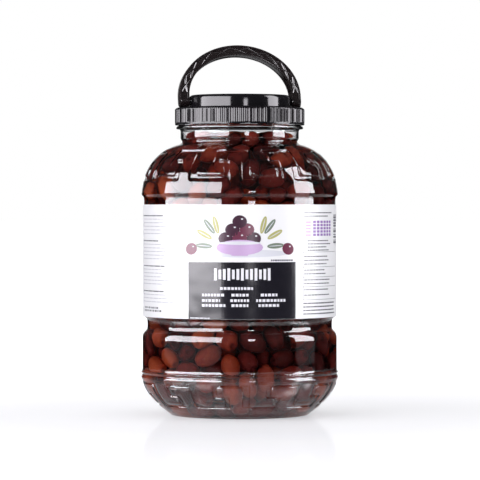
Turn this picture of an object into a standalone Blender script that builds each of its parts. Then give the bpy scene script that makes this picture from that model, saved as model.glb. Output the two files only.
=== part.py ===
"""A five-litre catering jar of olives, with a screw lid and a folding carry handle.

Metres, +Z up. The origin is the middle of the foot, and the label's front faces -Y.
"""

import math
import random

import bmesh
import bpy
from mathutils import Matrix, Vector

MM = 0.001

# The blown jar: its outline from the foot up, and the thickness of its wall.
FOOT_RADIUS = 58.5 * MM
FOOT_EDGE_RADIUS = 61 * MM
FOOT_EDGE_HEIGHT = 1.2 * MM
TAPER_FOOT_RADIUS = 60 * MM
TAPER_TOP_RADIUS = 85.2 * MM
TAPER_HEIGHT = 31 * MM
TAPER_POWER = 1.65
BODY_RADIUS = 85 * MM
RIDGES = ((32.9 * MM, 85.9 * MM), (36.3 * MM, 85.1 * MM), (39.1 * MM, 86.3 * MM))
PLAIN_BAND = (45 * MM, 72 * MM)
BAND_CORNER = (2.6 * MM, 0.7 * MM)
GROOVE_RADIUS = 80.8 * MM
GROOVE = (78.5 * MM, 84.7 * MM)
PANEL_RADIUS = 84 * MM
PANEL = (86.2 * MM, 189.8 * MM)
RING = (194.2 * MM, 86 * MM)
SHOULDER_START = 197 * MM
SHOULDER_CENTRE = (43.5 * MM, 196 * MM)
SHOULDER_RADIUS = 41.8 * MM
SHOULDER_END_RADIUS = 51.5 * MM
NECK_GROOVE_RADIUS = 50.4 * MM
NECK_GROOVE = (238.4 * MM, 240.2 * MM)
NECK_RADIUS = 51.9 * MM
NECK_START = 241.7 * MM
FLANGE_RADIUS = 55.7 * MM
FLANGE = (249.9 * MM, 252.5 * MM)
FINISH_RADIUS = 53.2 * MM
LIP_HEIGHT = 266.2 * MM
BORE_RADIUS = 50.2 * MM
WALL = 1.6 * MM
FLOOR_THICKNESS = 2 * MM
INNER_TAPER_HEIGHTS = (9 * MM, 19 * MM)
INNER_SHOULDER_HEIGHTS = (200 * MM, 211 * MM, 222 * MM, 230 * MM)

# The key pattern moulded round the base and the shoulder, as degrees within one unit of it.
KEY_UNITS = 11
KEY_PITCH = 2 * math.pi / KEY_UNITS
KEY_START = math.radians(15.7 - 90)
KEY_COLUMNS_DEG = (0, 5.6, 11, 18.6, 24)
ARM_END_DEG, STEM_START_DEG, STEM_END_DEG, RISER_START_DEG = KEY_COLUMNS_DEG[1:]
KEY_BASE_LEVELS = tuple(level * MM for level in (8.9, 11.4, 18.2, 20.3, 26.7, 29.2))
KEY_SHOULDER_LEVELS = tuple(level * MM for level in (205, 209.4, 217.3, 222.2, 228.8, 231.4))
KEY_DEPTH = 1.2 * MM
KEY_EDGE = 0.6 * MM
JAR_COLUMNS = KEY_UNITS * len(KEY_COLUMNS_DEG)

# The wrapped label
LABEL_RADIUS = 84.35 * MM
LABEL_THICKNESS = 0.3 * MM
LABEL = (86.6 * MM, 184.1 * MM)
LABEL_COLUMNS = 60

# The screw lid, with a raised disc that carries the handle's pins.
LID_RADIUS = 56.75 * MM
LID = (253.6 * MM, 268.8 * MM)
LID_CORNER = 1.9 * MM
LID_INNER_RADIUS = 54.8 * MM
LID_ROOF = 2 * MM
DISC_RADIUS = 44.4 * MM
DISC_TOP = 279.7 * MM
DISC_CORNER = 2.4 * MM
LID_COLUMNS = 44
POST_ROOT = 1.2 * MM

# The handle: an arch on two pins, turned against the label and leaning back.
PIVOT_HEIGHT = 274.5 * MM
HANDLE_TURN = math.radians(13.7)
HANDLE_LEAN = math.radians(12.9)
HANDLE_HALF_WIDTH = 54.3 * MM
HANDLE_REACH = 49.5 * MM
HANDLE_BAND = 8.4 * MM
HANDLE_DEPTH = 11 * MM
HANDLE_LEG = 3.9 * MM
HANDLE_STEPS = 22
HANDLE_FACE_BORDER = 1.5 * MM
HANDLE_FACE_DEPTH = 1 * MM
FOOT_ROUND = 5.4 * MM
BOSS_RADIUS = 3.6 * MM
PIN_RADIUS = 2.2 * MM
PIN_END = 51.5 * MM
GAP = 0.3 * MM

# The olives: a core, and the olives that show against the wall fused to it.
OLIVE_LENGTH = 23 * MM
OLIVE_WIDTH = 15.5 * MM
OLIVE_CLEARANCE = 1.2 * MM
OLIVE_JITTER = 2 * MM
CORE_INSET = 9.5 * MM
CORE_COLUMNS = 20
CORE_HEIGHTS = tuple(height * MM for height in (11, 22, 34, 70, 86, 185, 204, 220, 230))
OLIVE_ROWS = (
    (15 * MM, 12),
    (33 * MM, 14),
    (52 * MM, 14),
    (71 * MM, 14),
    (193 * MM, 14),
    (210 * MM, 12),
    (225 * MM, 10),
)
TOP_OLIVES = 5
TOP_OLIVE_RADIUS = 30 * MM
TOP_OLIVE_HEIGHT = 234 * MM
OLIVE_SEED = 11


def clear_scene():
    for thing in list(bpy.data.objects):
        bpy.data.objects.remove(thing, do_unlink=True)


def new_collection(name):
    collection = bpy.data.collections.new(name)
    bpy.context.scene.collection.children.link(collection)
    return collection


def new_material(name, colour, roughness, metallic=0.0, alpha=1.0):
    """A Principled material in linear colour."""
    material = bpy.data.materials.new(name)
    material.use_nodes = True
    shader = material.node_tree.nodes["Principled BSDF"]
    shader.inputs["Base Color"].default_value = (*colour, 1)
    shader.inputs["Roughness"].default_value = roughness
    shader.inputs["Metallic"].default_value = metallic
    shader.inputs["Alpha"].default_value = alpha
    material.diffuse_color = (*colour, alpha)
    return material


def new_object(name, mesh, collection, material=None):
    thing = bpy.data.objects.new(name, mesh)
    collection.objects.link(thing)
    if material:
        mesh.materials.append(material)
    return thing


def apply_modifiers(thing):
    """Replace an object's mesh by the one that its modifiers make."""
    bpy.context.view_layer.update()
    evaluated = thing.evaluated_get(bpy.context.evaluated_depsgraph_get())
    mesh = bpy.data.meshes.new_from_object(evaluated)
    thing.modifiers.clear()
    thing.data = mesh
    return thing


def shade(thing, angle_deg):
    thing.data.shade_smooth()
    thing.data.set_sharp_from_angle(angle=math.radians(angle_deg))


def turned(name, profile, columns, collection, material, closed=False):
    """A turned piece from (radius, height) points that run down its outer side."""
    mesh = bpy.data.meshes.new(name)
    edges = [(i, i + 1) for i in range(len(profile) - 1)]
    if closed:
        edges.append((len(profile) - 1, 0))
    mesh.from_pydata([(radius, 0, height) for radius, height in profile], edges, [])
    thing = new_object(name, mesh, collection, material)
    screw = thing.modifiers.new("turn", "SCREW")
    screw.steps = screw.render_steps = columns
    screw.use_merge_vertices = True
    screw.merge_threshold = 0.00001
    screw.use_smooth_shade = False
    return apply_modifiers(thing)


def join(thing, others, operation):
    """Boolean the others into a thing one by one, and remove them."""
    for other in others:
        boolean = thing.modifiers.new("join", "BOOLEAN")
        boolean.operation = operation
        boolean.object = other
        apply_modifiers(thing)
        bpy.data.objects.remove(other, do_unlink=True)
    return thing


def arc(centre, radius, start_deg, end_deg, steps):
    """Points round a circle in the (radius, height) plane, both ends included."""
    angles = [math.radians(start_deg + (end_deg - start_deg) * i / steps) for i in range(steps + 1)]
    return [(centre[0] + radius * math.cos(a), centre[1] + radius * math.sin(a)) for a in angles]


def taper_radius(height):
    """The jar's radius between the foot and the first ridge."""
    drop = (TAPER_HEIGHT - height) / TAPER_HEIGHT
    return TAPER_TOP_RADIUS - (TAPER_TOP_RADIUS - TAPER_FOOT_RADIUS) * drop**TAPER_POWER


def taper_slope(height):
    """How fast the taper widens with height."""
    return (taper_radius(height + MM) - taper_radius(height)) / MM


def shoulder_radius(height, inset=0.0):
    """The jar's radius on the round shoulder, or that of a surface inset from it."""
    rise = height - SHOULDER_CENTRE[1]
    return SHOULDER_CENTRE[0] + math.sqrt((SHOULDER_RADIUS - inset) ** 2 - rise**2)


def shoulder_height(radius):
    across = radius - SHOULDER_CENTRE[0]
    return SHOULDER_CENTRE[1] + math.sqrt(SHOULDER_RADIUS**2 - across**2)


def outer_profile():
    """The jar's outside, from the lip down to the middle of the foot."""
    up = [(0, 0), (FOOT_RADIUS, 0), (FOOT_EDGE_RADIUS, FOOT_EDGE_HEIGHT)]
    up += [(taper_radius(level), level) for level in KEY_BASE_LEVELS]
    up += [(radius, height) for height, radius in RIDGES]
    up += [(BODY_RADIUS, PLAIN_BAND[0]), (BODY_RADIUS, PLAIN_BAND[1])]
    up += [(BODY_RADIUS - BAND_CORNER[1], PLAIN_BAND[1] + BAND_CORNER[0])]
    up += [(GROOVE_RADIUS, GROOVE[0]), (GROOVE_RADIUS, GROOVE[1])]
    up += [(PANEL_RADIUS, PANEL[0]), (PANEL_RADIUS, PANEL[1])]
    up += [(RING[1], RING[0]), (shoulder_radius(SHOULDER_START), SHOULDER_START)]
    up += [(shoulder_radius(level), level) for level in KEY_SHOULDER_LEVELS]
    up += [(SHOULDER_END_RADIUS, shoulder_height(SHOULDER_END_RADIUS))]
    up += [(NECK_GROOVE_RADIUS, NECK_GROOVE[0]), (NECK_GROOVE_RADIUS, NECK_GROOVE[1])]
    up += [(NECK_RADIUS, NECK_START), (NECK_RADIUS, FLANGE[0])]
    up += [(FLANGE_RADIUS, FLANGE[0]), (FLANGE_RADIUS, FLANGE[1])]
    up += [(FINISH_RADIUS, FLANGE[1]), (FINISH_RADIUS, LIP_HEIGHT)]
    return up[::-1]


def inner_profile():
    """The jar's inside, from the middle of the floor up to the lip. It clears the key's channels."""
    behind_key = WALL + KEY_DEPTH
    behind_taper = behind_key / math.cos(math.atan(taper_slope(INNER_TAPER_HEIGHTS[0])))
    up = [(0, FLOOR_THICKNESS), (FOOT_RADIUS - WALL, FLOOR_THICKNESS)]
    up += [(taper_radius(height) - behind_taper, height) for height in INNER_TAPER_HEIGHTS]
    up += [(TAPER_TOP_RADIUS - behind_key, TAPER_HEIGHT)]
    up += [(BODY_RADIUS - WALL, RIDGES[-1][0]), (BODY_RADIUS - WALL, PLAIN_BAND[1])]
    up += [(GROOVE_RADIUS - WALL, GROOVE[0]), (GROOVE_RADIUS - WALL, GROOVE[1])]
    up += [(PANEL_RADIUS - WALL, PANEL[0] + WALL), (PANEL_RADIUS - WALL, PANEL[1])]
    up += [(shoulder_radius(height, behind_key), height) for height in INNER_SHOULDER_HEIGHTS]
    up += [(NECK_GROOVE_RADIUS - WALL, NECK_GROOVE[0] - WALL), (NECK_GROOVE_RADIUS - WALL, NECK_GROOVE[1])]
    up += [(BORE_RADIUS, NECK_START + WALL), (BORE_RADIUS, LIP_HEIGHT)]
    return up


def move_columns(mesh):
    """Slide the turned columns round to the edges of the key's strips."""
    step = 2 * math.pi / JAR_COLUMNS
    for vertex in mesh.vertices:
        radius = math.hypot(vertex.co.x, vertex.co.y)
        column = round(math.atan2(vertex.co.y, vertex.co.x) / step) % JAR_COLUMNS
        unit, place = divmod(column, len(KEY_COLUMNS_DEG))
        angle = KEY_START + unit * KEY_PITCH + math.radians(KEY_COLUMNS_DEG[place])
        vertex.co.x = radius * math.cos(angle)
        vertex.co.y = radius * math.sin(angle)


def in_key(angle, height, levels):
    """Whether a place in a band is on one of the key's two raised strips."""
    around = math.degrees((angle - KEY_START) % KEY_PITCH)
    riser = around > RISER_START_DEG and levels[1] < height < levels[5]
    arm = around < ARM_END_DEG and levels[1] < height < levels[2]
    stem = STEM_START_DEG < around < STEM_END_DEG and levels[0] < height < levels[4]
    hook = ARM_END_DEG < around < STEM_END_DEG and levels[3] < height < levels[4]
    return riser or arm or stem or hook


def sink_channels(mesh):
    """Press in the channels between the raised strips of both bands."""
    work = bmesh.new()
    work.from_mesh(mesh)
    for levels in (KEY_BASE_LEVELS, KEY_SHOULDER_LEVELS):
        channels = []
        for face in work.faces:
            centre = face.calc_center_median()
            outside = face.normal.x * centre.x + face.normal.y * centre.y > 0
            in_band = levels[0] < centre.z < levels[5]
            if outside and in_band and not in_key(math.atan2(centre.y, centre.x), centre.z, levels):
                channels.append(face)
        bmesh.ops.inset_region(
            work, faces=channels, thickness=KEY_EDGE, depth=-KEY_DEPTH, use_even_offset=True, use_boundary=True
        )
    work.to_mesh(mesh)
    work.free()


def make_jar(collection):
    clear_pet = new_material("clear_pet", (0.86, 0.88, 0.88), 0.05, alpha=0.3)
    jar = turned("jar", inner_profile() + outer_profile(), JAR_COLUMNS, collection, clear_pet)
    move_columns(jar.data)
    sink_channels(jar.data)
    shade(jar, 30)
    return jar


def make_label(collection):
    paper = new_material("label_paper", (0.9, 0.9, 0.92), 0.35)
    outer, inner = LABEL_RADIUS + LABEL_THICKNESS, LABEL_RADIUS
    profile = [(outer, LABEL[1]), (outer, LABEL[0]), (inner, LABEL[0]), (inner, LABEL[1])]
    label = turned("label", profile, LABEL_COLUMNS, collection, paper, closed=True)
    shade(label, 30)
    return label


def cylinder(name, radius, start, end, columns, collection):
    """A cylinder along the handle's pin line, from start to end of it."""
    work = bmesh.new()
    bmesh.ops.create_cone(
        work, cap_ends=True, segments=columns, radius1=radius, radius2=radius, depth=end - start
    )
    mesh = bpy.data.meshes.new(name)
    work.to_mesh(mesh)
    work.free()
    mesh.transform(Matrix.Translation(((start + end) / 2, 0, 0)) @ Matrix.Rotation(math.pi / 2, 4, "Y"))
    return new_object(name, mesh, collection)


def pin_line():
    """The hinge's frame: its X runs along the pins, and its origin is between them."""
    return Matrix.Translation((0, 0, PIVOT_HEIGHT)) @ Matrix.Rotation(HANDLE_TURN, 4, "Z")


def make_lid(collection, cutters):
    black = new_material("black_plastic", (0.012, 0.012, 0.013), 0.28)
    corner = (LID_RADIUS - LID_CORNER, LID[1] - LID_CORNER)
    disc_corner = (DISC_RADIUS - DISC_CORNER, DISC_TOP - DISC_CORNER)
    outside = [(0, DISC_TOP)] + arc(disc_corner, DISC_CORNER, 90, 0, 3)
    outside += [(DISC_RADIUS, LID[1])] + arc(corner, LID_CORNER, 90, 0, 2) + [(LID_RADIUS, LID[0])]
    roof = LID[1] - LID_ROOF
    inside = [(LID_INNER_RADIUS, LID[0]), (LID_INNER_RADIUS, roof), (DISC_RADIUS - LID_ROOF, roof)]
    inside += [(DISC_RADIUS - LID_ROOF, DISC_TOP - LID_ROOF), (0, DISC_TOP - LID_ROOF)]
    lid = turned("lid", outside + inside, LID_COLUMNS, collection, black)
    root = DISC_RADIUS - POST_ROOT
    boss_end = HANDLE_HALF_WIDTH - HANDLE_BAND - GAP
    posts = []
    for side in (1, -1):
        for radius, end, columns in ((BOSS_RADIUS, boss_end, 14), (PIN_RADIUS, PIN_END, 10)):
            start, stop = sorted((side * root, side * end))
            posts.append(cylinder("post", radius, start, stop, columns, cutters))
            posts[-1].matrix_world = pin_line()
    join(lid, posts, "UNION")
    shade(lid, 35)
    return lid


def arch_outline():
    """The handle's flat outline across its pins (x) and along its reach (y)."""
    outer_rise = HANDLE_REACH - HANDLE_LEG
    inner_width, inner_rise = HANDLE_HALF_WIDTH - HANDLE_BAND, outer_rise - HANDLE_BAND
    angles = [math.pi * i / HANDLE_STEPS for i in range(HANDLE_STEPS + 1)]
    outer = [(HANDLE_HALF_WIDTH * math.cos(a), HANDLE_LEG + outer_rise * math.sin(a)) for a in angles]
    inner = [(inner_width * math.cos(a), HANDLE_LEG + inner_rise * math.sin(a)) for a in angles]
    right, left = (HANDLE_HALF_WIDTH, 0), (-HANDLE_HALF_WIDTH, 0)
    return [right] + outer + [left, (-inner_width, 0)] + inner[::-1] + [(inner_width, 0)]


def flat_piece(name, outline, thickness, collection):
    """A mesh from a filled flat curve, standing in the XZ plane and centred on it."""
    curve = bpy.data.curves.new(name, "CURVE")
    curve.dimensions = "2D"
    curve.fill_mode = "BOTH"
    curve.extrude = thickness / 2
    spline = curve.splines.new("POLY")
    spline.points.add(len(outline) - 1)
    for point, (x, y) in zip(spline.points, outline):
        point.co = (x, y, 0, 1)
    spline.use_cyclic_u = True
    drawn = bpy.data.objects.new(name + "_outline", curve)
    collection.objects.link(drawn)
    bpy.context.view_layer.update()
    mesh = bpy.data.meshes.new_from_object(drawn.evaluated_get(bpy.context.evaluated_depsgraph_get()))
    bpy.data.objects.remove(drawn, do_unlink=True)
    work = bmesh.new()
    work.from_mesh(mesh)
    bmesh.ops.remove_doubles(work, verts=work.verts, dist=0.00001)
    bmesh.ops.recalc_face_normals(work, faces=work.faces)
    work.to_mesh(mesh)
    work.free()
    mesh.transform(Matrix.Rotation(math.pi / 2, 4, "X"))
    return new_object(name, mesh, collection)


def sink_faces(mesh):
    """Press in the handle's front and back faces inside a raised border."""
    for side in (1, -1):
        work = bmesh.new()
        work.from_mesh(mesh)
        facing = [face for face in work.faces if face.normal.y * side > 0.9]
        whole = bmesh.ops.dissolve_faces(work, faces=facing)["region"]
        bmesh.ops.inset_region(
            work,
            faces=whole,
            thickness=HANDLE_FACE_BORDER,
            depth=-HANDLE_FACE_DEPTH,
            use_even_offset=True,
            use_boundary=True,
        )
        work.to_mesh(mesh)
        work.free()


def make_handle(collection, cutters):
    black = new_material("black_handle_plastic", (0.012, 0.012, 0.013), 0.3)
    handle = flat_piece("handle", arch_outline(), HANDLE_DEPTH, collection)
    handle.data.materials.append(black)
    sink_faces(handle.data)
    inner = HANDLE_HALF_WIDTH - HANDLE_BAND
    feet, sockets = [], []
    for side in (1, -1):
        start, end = sorted((side * inner, side * HANDLE_HALF_WIDTH))
        feet.append(cylinder("foot", FOOT_ROUND, start, end, 20, cutters))
        start, end = sorted((side * (inner - GAP), side * (PIN_END + GAP)))
        sockets.append(cylinder("socket", PIN_RADIUS + GAP, start, end, 10, cutters))
    join(handle, feet, "UNION")
    join(handle, sockets, "DIFFERENCE")
    handle.matrix_world = pin_line() @ Matrix.Rotation(-HANDLE_LEAN, 4, "X")
    shade(handle, 35)
    return handle


def wall_frame(height):
    """A place on the jar's inner wall, as its radius and how far it leans in from upright."""
    if height < TAPER_HEIGHT - MM:
        return taper_radius(height) - 2 * WALL - KEY_DEPTH, -math.atan(taper_slope(height))
    if height > SHOULDER_START:
        lean = math.asin((height - SHOULDER_CENTRE[1]) / SHOULDER_RADIUS)
        return shoulder_radius(height, WALL + KEY_DEPTH), lean
    if GROOVE[0] - OLIVE_LENGTH / 2 < height < GROOVE[1]:
        return GROOVE_RADIUS - WALL, 0
    return BODY_RADIUS - 2 * WALL, 0


def olive_mesh():
    work = bmesh.new()
    bmesh.ops.create_icosphere(work, subdivisions=1, radius=0.5)
    mesh = bpy.data.meshes.new("olive")
    work.to_mesh(mesh)
    work.free()
    return mesh


def place_olive(mesh, place, outward, along, width, length, collection):
    """One olive: its length runs near 'along', and its flank faces outward."""
    across = outward.cross(along).normalized()
    along = across.cross(outward).normalized()
    frame = Matrix((across, outward, along)).transposed().to_4x4()
    olive = bpy.data.objects.new("olive", mesh)
    collection.objects.link(olive)
    olive.matrix_world = Matrix.Translation(place) @ frame @ Matrix.Diagonal((width, width, length, 1))


def make_olives(collection):
    """The heap: rows of olives against the wall and a few on top, fused to a turned core."""
    draw = random.Random(OLIVE_SEED)
    pieces = new_collection("olive_pieces")
    mesh = olive_mesh()
    for row, (height, count) in enumerate(OLIVE_ROWS):
        for i in range(count):
            angle = 2 * math.pi * (i + 0.5 * (row % 2) + draw.uniform(-0.12, 0.12)) / count
            rise = height + draw.uniform(-1, 1) * OLIVE_JITTER
            width = OLIVE_WIDTH * draw.uniform(0.92, 1.08)
            length = OLIVE_LENGTH * draw.uniform(0.9, 1.08)
            wall, lean = wall_frame(rise)
            radial = Vector((math.cos(angle), math.sin(angle), 0))
            round_jar = Vector((-math.sin(angle), math.cos(angle), 0))
            outward = radial * math.cos(lean) + Vector((0, 0, math.sin(lean)))
            up_wall = outward.cross(round_jar)
            turn = draw.uniform(-0.9, 0.9)
            along = round_jar * math.cos(turn) + up_wall * math.sin(turn)
            place = radial * wall + Vector((0, 0, rise)) - outward * (width / 2 + OLIVE_CLEARANCE)
            place_olive(mesh, place, outward, along, width, length, pieces)
    for i in range(TOP_OLIVES):
        angle = 2 * math.pi * i / TOP_OLIVES
        place = Vector((math.cos(angle), math.sin(angle), 0)) * TOP_OLIVE_RADIUS * draw.uniform(0.75, 1)
        place.z = TOP_OLIVE_HEIGHT + draw.uniform(-1, 1) * OLIVE_JITTER
        turn = draw.uniform(0, math.pi)
        along = Vector((math.cos(turn), math.sin(turn), draw.uniform(-0.3, 0.3)))
        place_olive(mesh, place, Vector((0, 0, 1)), along, OLIVE_WIDTH, OLIVE_LENGTH, pieces)
    cured_olives = new_material("olive_flesh", (0.11, 0.02, 0.013), 0.25)
    rows = [(wall_frame(height)[0] - CORE_INSET, height) for height in CORE_HEIGHTS]
    core_profile = [(0, CORE_HEIGHTS[-1])] + rows[::-1] + [(0, CORE_HEIGHTS[0])]
    olives = turned("olives", core_profile, CORE_COLUMNS, collection, cured_olives)
    union = olives.modifiers.new("fuse", "BOOLEAN")
    union.operation = "UNION"
    union.operand_type = "COLLECTION"
    union.collection = pieces
    union.solver = "MANIFOLD"
    apply_modifiers(olives)
    for piece in list(pieces.objects):
        bpy.data.objects.remove(piece, do_unlink=True)
    bpy.data.collections.remove(pieces)
    return olives


clear_scene()
jar_of_olives = new_collection("jar_of_olives")
cutters = new_collection("cutters")
make_jar(jar_of_olives)
make_label(jar_of_olives)
make_lid(jar_of_olives, cutters)
make_handle(jar_of_olives, cutters)
make_olives(jar_of_olives)
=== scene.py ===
import math
import random

import bmesh
import bpy
import numpy as np
from mathutils import Matrix, Vector


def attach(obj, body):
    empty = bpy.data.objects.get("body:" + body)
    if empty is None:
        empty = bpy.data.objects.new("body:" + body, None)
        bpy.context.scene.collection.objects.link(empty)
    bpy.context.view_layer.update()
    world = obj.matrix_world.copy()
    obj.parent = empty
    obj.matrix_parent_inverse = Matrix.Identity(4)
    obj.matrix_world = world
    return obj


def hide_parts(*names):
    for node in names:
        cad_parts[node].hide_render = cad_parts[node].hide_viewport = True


# Looks for a five-litre catering jar of olives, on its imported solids. The solids are in metres,
# +Z up, and the label's front faces -Y.
MM = 0.001
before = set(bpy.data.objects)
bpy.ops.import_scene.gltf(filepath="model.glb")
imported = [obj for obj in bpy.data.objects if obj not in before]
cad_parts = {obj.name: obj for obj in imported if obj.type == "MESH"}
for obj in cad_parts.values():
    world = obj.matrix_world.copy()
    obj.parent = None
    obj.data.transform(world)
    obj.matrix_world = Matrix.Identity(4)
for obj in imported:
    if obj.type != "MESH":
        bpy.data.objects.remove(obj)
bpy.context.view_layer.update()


# The studio: a plain white floor with a slight gloss, a white surrounding, a wide softbox on
# the left, a tall strip on the right and a small window behind the camera.
def linear(colour):
    """Turn an sRGB hex colour into linear red, green, blue and alpha."""
    parts = [int(colour[i:i + 2], 16) / 255 for i in (1, 3, 5)]
    return (*[p / 12.92 if p <= 0.04045 else ((p + 0.055) / 1.055) ** 2.4 for p in parts], 1)


def add_node(tree, kind, values=(), links=(), **settings):
    """Add a node, set its settings and input values, and link other sockets into it."""
    node = tree.nodes.new(kind)
    for name, value in settings.items():
        setattr(node, name, value)
    for name, value in dict(values).items():
        node.inputs[name].default_value = value
    for name, socket in dict(links).items():
        tree.links.new(socket, node.inputs[name])
    return node


def new_surface(name, colour, roughness, **sockets):
    """A material with a Principled shader, and its tree and shader to add to."""
    material = bpy.data.materials.new(name)
    material.use_nodes = True
    tree = material.node_tree
    shader = tree.nodes["Principled BSDF"]
    shader.inputs["Base Color"].default_value = linear(colour)
    shader.inputs["Roughness"].default_value = roughness
    for socket, value in sockets.items():
        shader.inputs[socket.replace("_", " ")].default_value = value
    return material, tree, shader


CAMERA_SIDE = 0.26 * MM
CAMERA_DISTANCE = 2600 * MM
CAMERA_HEIGHT = 183.7 * MM
CAMERA_PITCH = math.radians(-0.676)
CAMERA_LENS = 222.5
lens = bpy.data.cameras.new("camera")
lens.lens = CAMERA_LENS
lens.sensor_width = 36
lens.clip_end = 50
camera = bpy.data.objects.new("camera", lens)
camera.location = (CAMERA_SIDE, -CAMERA_DISTANCE, CAMERA_HEIGHT)
camera.rotation_euler = (math.pi / 2 + CAMERA_PITCH, 0, 0)
bpy.context.scene.collection.objects.link(camera)
bpy.context.scene.camera = camera
bpy.context.scene.view_settings.view_transform = "Standard"

FLOOR_SIZE = 60000 * MM
bpy.ops.object.select_all(action="DESELECT")
bpy.ops.mesh.primitive_plane_add(size=FLOOR_SIZE, location=(0, 0, 0))
floor = bpy.context.object
floor.name = "studio_floor"
# White acrylic sheet: a fine gloss over it gives the jar a weak mirror image. It glows with painted
# light, weaker near the jar and full far from it, so that it runs into the white surrounding. Past
# the near part the sheet shows reflected rays a dark grey, a painted reflection of a dark room.
SHEET_RADIUS = 620 * MM
GLOW_START, GLOW_END = 200 * MM, 1200 * MM
MIRROR_SHARE = 0.16
white_acrylic, tree, shader = new_surface("white_acrylic_sheet", "#d9d9dc", 0.5, Specular_IOR_Level=0)
shader.inputs["Emission Color"].default_value = linear("#fcfcff")
place = add_node(tree, "ShaderNodeTexCoord")
away = add_node(tree, "ShaderNodeVectorMath", links={0: place.outputs["Object"]}, operation="LENGTH")
# Painted light: the sheet's own glow, from 0.45 near the jar to full strength far away.
glow = add_node(
    tree,
    "ShaderNodeMapRange",
    {"From Min": GLOW_START, "From Max": GLOW_END, "To Min": 0.45, "To Max": 1.0},
    {"Value": away.outputs["Value"]},
)
tree.links.new(glow.outputs[0], shader.inputs["Emission Strength"])
gloss = add_node(tree, "ShaderNodeBsdfGlossy", {"Roughness": 0.07})
coated = add_node(tree, "ShaderNodeMixShader", {0: MIRROR_SHARE},
                  {1: shader.outputs[0], 2: gloss.outputs[0]})
# Painted reflection: past the sheet's edge, reflected rays see dark grey instead of the glowing floor.
edge = add_node(tree, "ShaderNodeMapRange", {"From Min": SHEET_RADIUS, "From Max": SHEET_RADIUS * 1.2},
                {"Value": away.outputs["Value"]})
ray = add_node(tree, "ShaderNodeLightPath")
room = add_node(tree, "ShaderNodeMath", links={0: edge.outputs[0], 1: ray.outputs["Glossy Depth"]},
                operation="MULTIPLY", use_clamp=True)
dark = add_node(tree, "ShaderNodeBsdfDiffuse", {"Color": linear("#2c2a2c")})
sheet = add_node(tree, "ShaderNodeMixShader",
                 links={0: room.outputs[0], 1: coated.outputs[0], 2: dark.outputs[0]})
tree.links.new(sheet.outputs[0], tree.nodes["Material Output"].inputs["Surface"])
floor.data.materials.append(white_acrylic)


def add_softbox(name, azimuth_deg, half_angle_deg, distance, low, high, radiance, rays):
    """A rectangle of light that faces the jar, from low to high, seen by the rays named."""
    lamp = bpy.data.lights.new(name, "AREA")
    lamp.shape = "RECTANGLE"
    lamp.color = linear("#fcf9ff")[:3]
    lamp.size = 2 * distance * math.tan(math.radians(half_angle_deg))
    lamp.size_y = high - low
    lamp.energy = radiance * math.pi * lamp.size * lamp.size_y
    thing = bpy.data.objects.new(name, lamp)
    azimuth = math.radians(azimuth_deg)
    thing.location = (distance * math.sin(azimuth), -distance * math.cos(azimuth), (low + high) / 2)
    thing.rotation_euler = (math.pi / 2, 0, azimuth)
    thing.visible_camera = False
    thing.visible_diffuse = thing.visible_transmission = "diffuse" in rays
    thing.visible_glossy = "glossy" in rays
    bpy.context.scene.collection.objects.link(thing)


SOFTBOX = dict(azimuth_deg=-59, half_angle_deg=38, distance=1.3, low=0.05, high=1.1)
STRIP = dict(azimuth_deg=81.5, half_angle_deg=14.5, distance=1.3, low=0.05, high=1.5)
WINDOW = dict(azimuth_deg=13.5, half_angle_deg=4, distance=1.7, low=0.16, high=0.5)
# Two dim skirts stand for the light that spills below the softbox and the strip.
SOFTBOX_SKIRT = dict(azimuth_deg=-59, half_angle_deg=38, distance=0.9, low=-0.01, high=0.045)
STRIP_SKIRT = dict(azimuth_deg=81.5, half_angle_deg=14.5, distance=0.9, low=-0.01, high=0.045)
add_softbox("softbox_shine", **SOFTBOX, radiance=13, rays=("glossy",))
add_softbox("softbox_fill", **SOFTBOX, radiance=3.2, rays=("diffuse",))
add_softbox("strip_shine", **STRIP, radiance=13, rays=("glossy",))
add_softbox("strip_fill", **STRIP, radiance=3.2, rays=("diffuse",))
add_softbox("window_shine", **WINDOW, radiance=14, rays=("glossy",))
add_softbox("softbox_skirt", **SOFTBOX_SKIRT, radiance=0.35, rays=("glossy",))
add_softbox("strip_skirt", **STRIP_SKIRT, radiance=0.35, rays=("glossy",))

# The surrounding is white to the eye. Gloss sees a dark room, and a white backdrop right behind.
world = bpy.context.scene.world or bpy.data.worlds.new("studio")
bpy.context.scene.world = world
world.use_nodes = True
sky = world.node_tree
sky.nodes.clear()
direction = add_node(sky, "ShaderNodeTexCoord")
split = add_node(sky, "ShaderNodeSeparateXYZ", links={"Vector": direction.outputs["Generated"]})
backdrop = add_node(
    sky,
    "ShaderNodeMapRange",
    {"From Min": 0.95, "From Max": 0.997, "To Min": 0.035, "To Max": 1.0},
    {"Value": split.outputs["Y"]},
)
ray = add_node(sky, "ShaderNodeLightPath")
fill = add_node(sky, "ShaderNodeMath", {1: -0.35, 2: 1}, {0: ray.outputs["Is Diffuse Ray"]},
                operation="MULTIPLY_ADD")
seen = add_node(
    sky,
    "ShaderNodeMix",
    links={"Factor": ray.outputs["Glossy Depth"], "A": fill.outputs[0], "B": backdrop.outputs[0]},
)
white = add_node(sky, "ShaderNodeBackground", {"Color": linear("#ffffff")}, {"Strength": seen.outputs[0]})
add_node(sky, "ShaderNodeOutputWorld", links={"Surface": white.outputs[0]})


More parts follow.
